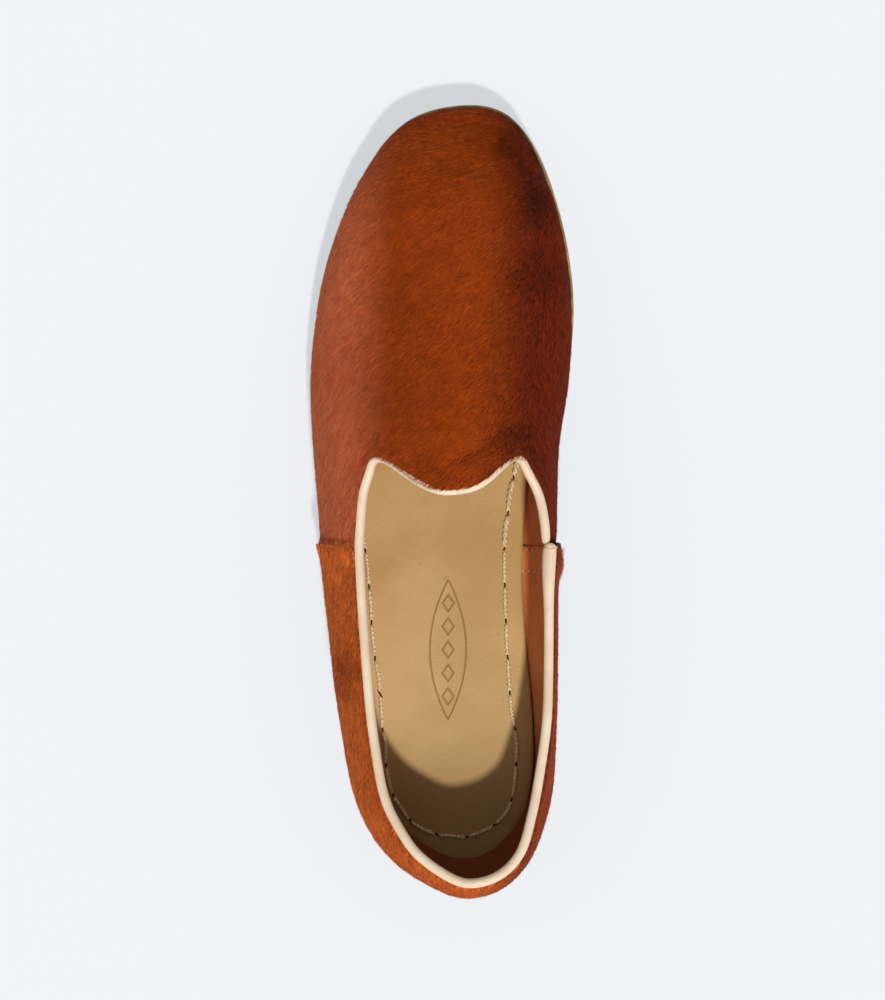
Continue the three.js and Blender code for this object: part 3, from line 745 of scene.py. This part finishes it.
def near_line(places, path):
    """How far places are, in plan, from a line through plan places in millimetres."""
    line = np.array(path) * MM
    least = np.full(len(places), 1.0)
    for start, end in zip(line, line[1:]):
        run = end - start
        share = np.clip((places[:, :2] - start) @ run / (run @ run), 0, 1)
        away = places[:, :2] - start - share[:, None] * run
        least = np.minimum(least, np.linalg.norm(away, axis=1))
    return least


def nap(name, sheet, comb, chosen, skin, over, edge, seed):
    """A joined mesh of thin closed pyramids that lie on the sheet as hair.

    Each is cut where it would hang past the skin, and then lies over what else is there."""
    draw = np.random.default_rng(seed)
    sheet.verts.index_update()
    places = np.array([corner.co for corner in sheet.verts])
    normals = np.array([corner.normal for corner in sheet.verts])
    faces = np.array([[loop.vert.index for loop in face] for face in sheet.calc_loop_triangles()])
    a, b, c = (places[faces[:, k]] for k in range(3))
    middle = (a + b + c) / 3
    area = np.linalg.norm(np.cross(b - a, c - a), axis=1) * chosen(middle)
    picked = draw.choice(len(faces), HAIRS_EACH, p=area / area.sum())
    share = draw.dirichlet((1, 1, 1), HAIRS_EACH)[:, :, None]
    roots = (places[faces[picked]] * share).sum(1)
    out = unit((normals[faces[picked]] * share).sum(1))
    clump = np.array([noise.noise(Vector(p) * 260) for p in roots])
    fine = np.array([noise.noise(Vector(p) * 800) for p in roots])
    unruly, lighter = np.zeros(HAIRS_EACH), np.zeros(HAIRS_EACH)
    for x, y, reach, ruffle, light in RUFFLES:
        away = np.hypot(roots[:, 0] - x * MM, roots[:, 1] - y * MM) / (reach * MM)
        unruly += ruffle * np.exp(-away ** 2)
        lighter += light * np.exp(-away ** 2)
    # Painted shade: the hair lies darker along the creases of the vamp.
    for path, reach in ((HORN_CREASE, 0.9), (HORN_FOLD, 2.5), (THROAT_GROOVE, 0.9), (TOE_CREASE, 2.5)):
        lighter -= 0.35 * np.exp(-(near_line(roots, path) / (reach * MM)) ** 2)
    lie = comb(roots)
    low = (roots[:, 2] < LOW_EDGE) & (roots[:, 1] > SEAM_Y)
    lie[:, 2] -= low * np.clip(2.2 * clump + draw.normal(0, 0.2, HAIRS_EACH), 0, 1)
    lie = unit(lie - out * (lie * out).sum(1, keepdims=True))
    by_seam = np.exp(-((roots[:, 1] - SEAM_Y) / (3 * MM)) ** 2) * (roots[:, 0] < RIDGE_X)
    roots = roots + out * SEAM_COVER * by_seam[:, None]
    turn = 0.2 * clump + 0.18 * fine + draw.normal(0, 0.16, HAIRS_EACH)
    turn = ((1 + 2.2 * unruly) * turn)[:, None]
    lie = unit(lie * np.cos(turn) + np.cross(out, lie) * np.sin(turn))
    length = HAIR_LENGTH * draw.uniform(0.55, 1.25, HAIRS_EACH)
    stray = (draw.uniform(0, 1, HAIRS_EACH) < 0.05) * draw.uniform(0.3, 1.0, HAIRS_EACH) * 2
    stand = 0.6 + 1.2 * np.clip(fine + 0.3, 0, 1) + draw.uniform(0, 0.9, HAIRS_EACH) + stray + 1.5 * unruly
    stand = HAIR_STAND * stand
    reach = OVERHANG * draw.uniform(0.3, 1.3, HAIRS_EACH)
    throat = (roots[:, 1] > 2 * MM) & (roots[:, 2] > THROAT_Z)
    reach = np.where(throat, THROAT_OVERHANG * draw.uniform(0.45, 1.15, HAIRS_EACH), reach)
    horn = np.hypot(roots[:, 0] - HORN_PLACE[0], roots[:, 1] - HORN_PLACE[1]) < 6 * MM
    reach = np.where(horn, HORN_OVERHANG * draw.uniform(0.4, 1.1, HAIRS_EACH), reach)
    tips = np.empty_like(roots)
    beside = np.empty(HAIRS_EACH)
    for k, root in enumerate(roots):
        tip = Vector(root + lie[k] * length[k])
        for cut in range(5):
            if skin.find_nearest(tip)[3] < max(reach[k], stand[k]):
                break
            tip = tip.lerp(Vector(root), 0.25)
        spot, normal, face, gap = over.find_nearest(tip)
        if normal.dot(Vector(out[k])) < -0.3:
            normal = -normal
        tips[k] = spot + normal * stand[k] if gap < 1.5 * MM else tip
        beside[k] = edge.find_nearest(Vector(root))[3]
    tips[:, 2] = np.maximum(tips[:, 2], LOWEST_TIP)
    run = unit(tips - roots)
    side = unit(np.cross(run, out))
    below = np.cross(run, side)
    width = HAIR_WIDTH * draw.uniform(0.6, 1.3, HAIRS_EACH)[:, None]
    feet = [roots + width * (side * math.cos(t) + below * math.sin(t)) / 2 for t in np.radians((90, 210, 330))]
    corners = np.stack([*feet, tips], 1).reshape(-1, 3)
    pattern = np.array([[0, 1, 3], [1, 2, 3], [2, 0, 3], [0, 2, 1]])
    triangles = (np.arange(HAIRS_EACH)[:, None, None] * 4 + pattern).reshape(-1, 3)
    mesh = bpy.data.meshes.new(name)
    mesh.from_pydata(corners, [], triangles)
    tone = 0.52 + 0.14 * clump + 0.22 * fine + draw.normal(0, 0.2, HAIRS_EACH) + lighter
    # Painted shade: the hair darkens close beside the binding, where the binding's edge shades it.
    tone -= 0.4 * np.exp(-(beside / (0.9 * MM)) ** 2)
    shade = np.stack([tone - 0.22, tone - 0.22, tone - 0.22, tone + 0.18], 1).ravel()
    mesh.attributes.new("tone", "FLOAT", "POINT").data.foreach_set("value", shade.astype(np.float32))
    mesh.materials.append(nap_finish.material)
    mesh.shade_smooth()
    made = bpy.data.objects.new(name, mesh)
    bpy.context.scene.collection.objects.link(made)
    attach(made, "root")
    return made


nap_finish = Finish("nap", Roughness=0.6, Specular_IOR_Level=0.12)
dark, light = coat_colours_and_painted_light(nap_finish)
tone = nap_finish.node("ShaderNodeAttribute", {"attribute_name": "tone"}, {}, "Fac")
nap_finish.set(Base_Color=nap_finish.mix(tone, dark, light))

quarter_skin, quarter_back = skins("quarter")
quarter_skin = taken_in(refined(quarter_skin, 2))
skin_ground = surface(vamp_sheet, quarter_skin, outsole)
whole_ground = surface(vamp_sheet, quarter_skin, outsole, binding)
binding_ground = surface(binding)
quarter_ground = surface(quarter_skin)
vamp_coat = [
    ("nap_vamp_medial", lambda p: (p[:, 1] > SEAM_Y) & (p[:, 0] >= RIDGE_X), 1),
    ("nap_vamp_lateral", lambda p: (p[:, 1] > SEAM_Y) & (p[:, 0] < RIDGE_X), 2),
]
for name, chosen, seed in vamp_coat:
    nap(name, vamp_sheet, comb_vamp, chosen, skin_ground, whole_ground, binding_ground, seed)
nap("nap_quarter", quarter_skin, comb_quarter, lambda p: p[:, 1] < 1, quarter_ground, quarter_ground, binding_ground, 3)
